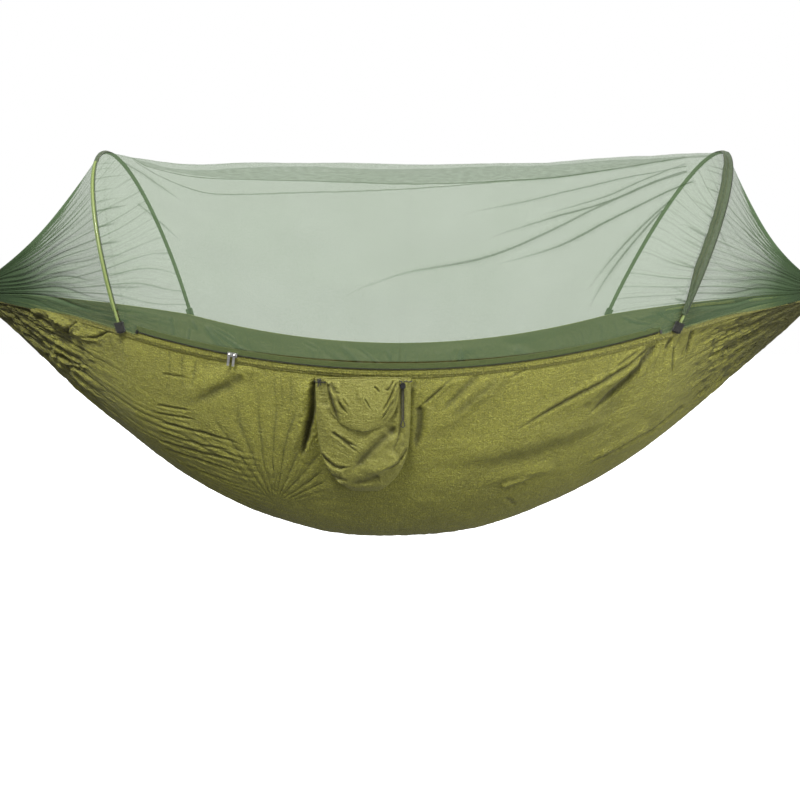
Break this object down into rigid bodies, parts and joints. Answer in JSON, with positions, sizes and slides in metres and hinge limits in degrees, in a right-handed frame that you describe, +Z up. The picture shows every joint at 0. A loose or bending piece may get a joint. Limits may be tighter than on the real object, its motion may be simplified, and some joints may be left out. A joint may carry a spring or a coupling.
{
  "type": "camping hammock",
  "caption": "Gathered-end nylon hammock with a pop-up mosquito net on two flexible hoops, a zipped front edge, a storage pocket and a carabiner on a webbing loop at each end.",
  "frame": {"origin": "inner face of the left carabiner's far end, where it bears on the strap that holds it", "axes": "+X from the left hanging point to the right one, +Z up, -Y is the front with the zip and the pocket"},
  "size_m": [2.9102, 0.7423, 1.1391],
  "materials": {
    "body_cloth": "crinkled olive nylon with a soft sheen",
    "inner_cloth": "green nylon",
    "pocket_cloth": "crinkled olive nylon",
    "net": "fine green mesh",
    "sleeve_cloth": "dark green binding",
    "zip_tape": "woven tape",
    "zip_coil": "nylon coil",
    "zip_metal": "nickel finish",
    "black_cord": "braided cord",
    "black_webbing": "woven nylon",
    "black_plastic": "moulded nylon",
    "rod_cap_rubber": "matte",
    "fibreglass_rod": "yellow-green fibreglass",
    "anodised_alloy": "black anodised",
    "spring_steel": "bright"
  },
  "bodies": {
    "hammock": {"hammock_body": "body_cloth", "front_edge_hem": "body_cloth", "back_edge_hem": "inner_cloth", "net_canopy": "net", "net_left_end": "net", "net_right_end": "net", "zip_lower_tape": "zip_tape", "zip_upper_tape": "zip_tape", "zip_coil": "zip_coil", "pocket_bag": "pocket_cloth", "pocket_flap": "pocket_cloth", "pocket_mouth_cord": "black_cord", "pocket_cord_tail": "black_cord", "left_front_foot_pocket": "black_webbing", "left_back_foot_pocket": "black_webbing", "left_gather_bundle": "body_cloth", "left_whipping_cord": "black_cord", "left_webbing_loop": "black_webbing", "zip_left_stop": "zip_metal", "right_front_foot_pocket": "black_webbing", "right_back_foot_pocket": "black_webbing", "right_gather_bundle": "body_cloth", "right_whipping_cord": "black_cord", "right_webbing_loop": "black_webbing", "zip_right_stop": "zip_metal"},
    "left_carabiner": {"left_carabiner_body": "anodised_alloy", "left_gate_pin": "spring_steel", "left_gate_spring": "spring_steel"},
    "left_gate": {"left_carabiner_gate": "anodised_alloy"},
    "left_hoop": {"left_hoop_rod": "fibreglass_rod", "left_hoop_sleeve": "sleeve_cloth", "left_front_rod_cap": "rod_cap_rubber", "left_back_rod_cap": "rod_cap_rubber"},
    "zip_left_slider": {"zip_left_slider": "zip_metal"},
    "zip_left_pull": {"zip_left_pull": "zip_metal"},
    "right_carabiner": {"right_carabiner_body": "anodised_alloy", "right_gate_pin": "spring_steel", "right_gate_spring": "spring_steel"},
    "right_gate": {"right_carabiner_gate": "anodised_alloy"},
    "right_hoop": {"right_hoop_rod": "fibreglass_rod", "right_hoop_sleeve": "sleeve_cloth", "right_front_rod_cap": "rod_cap_rubber", "right_back_rod_cap": "rod_cap_rubber"},
    "zip_right_slider": {"zip_right_slider": "zip_metal"},
    "zip_right_pull": {"zip_right_pull": "zip_metal"},
    "cord_lock": {"cord_lock_barrel": "black_plastic", "cord_lock_spring": "spring_steel"},
    "lock_button": {"cord_lock_button": "black_plastic"}
  },
  "joints": [
    {"name": "left_carabiner_swing", "type": "hinge", "parent": "hammock", "child": "left_carabiner", "pos_m": [0.07199, 0, -0.03205], "axis": [0, 1, 0], "range_deg": [-45, 45]},
    {"name": "left_gate_hinge", "type": "hinge", "parent": "left_carabiner", "child": "left_gate", "pos_m": [0.05554, -0.01565, -0.02473], "axis": [-0.4067, 0, -0.9135], "range_deg": [0, 32], "stiffness_Nm_per_rad": 0.02, "springref_deg": -17.19},
    {"name": "left_hoop_sway", "type": "hinge", "parent": "hammock", "child": "left_hoop", "pos_m": [0.73919, 0, -0.16825], "axis": [0, 1, 0], "range_deg": [-6, 6], "stiffness_Nm_per_rad": 8, "deforming": ["net_canopy", "net_left_end"]},
    {"name": "right_carabiner_swing", "type": "hinge", "parent": "hammock", "child": "right_carabiner", "pos_m": [2.8224, 0, -0.03205], "axis": [0, 1, 0], "range_deg": [-45, 45]},
    {"name": "right_gate_hinge", "type": "hinge", "parent": "right_carabiner", "child": "right_gate", "pos_m": [2.83884, 0.01565, -0.02473], "axis": [0.4067, 0, -0.9135], "range_deg": [0, 32], "stiffness_Nm_per_rad": 0.02, "springref_deg": -17.19},
    {"name": "right_hoop_sway", "type": "hinge", "parent": "hammock", "child": "right_hoop", "pos_m": [2.15519, 0, -0.16825], "axis": [0, 1, 0], "range_deg": [-6, 6], "stiffness_Nm_per_rad": 8, "deforming": ["net_canopy", "net_right_end"]},
    {"name": "zip_left_travel", "type": "hinge", "parent": "hammock", "child": "zip_left_slider", "pos_m": [1.44719, 0.66535, 1.74645], "axis": [0, -0.8944, 0.4472], "range_deg": [-6, 0]},
    {"name": "zip_right_travel", "type": "hinge", "parent": "hammock", "child": "zip_right_slider", "pos_m": [1.44719, 0.66535, 1.74645], "axis": [0, -0.8944, 0.4472], "range_deg": [0, 27.3]},
    {"name": "zip_left_pull_swing", "type": "hinge", "parent": "zip_left_slider", "child": "zip_left_pull", "pos_m": [1.02115, -0.33482, -0.22689], "axis": [-0.982, 0.0846, 0.1691], "range_deg": [-8, 150]},
    {"name": "zip_right_pull_swing", "type": "hinge", "parent": "zip_right_slider", "child": "zip_right_pull", "pos_m": [1.03391, -0.3359, -0.22905], "axis": [-0.983, 0.082, 0.1641], "range_deg": [-8, 150]},
    {"name": "cord_lock_slide", "type": "slide", "parent": "hammock", "child": "cord_lock", "axis": [0, 0, -1], "range_m": [0, 0.075]},
    {"name": "lock_button_press", "type": "slide", "parent": "cord_lock", "child": "lock_button", "axis": [0, 1, 0], "range_m": [0, 0.0027], "stiffness_N_per_m": 300, "springref_m": -0.001, "deforming": ["cord_lock_spring"]}
  ]
}
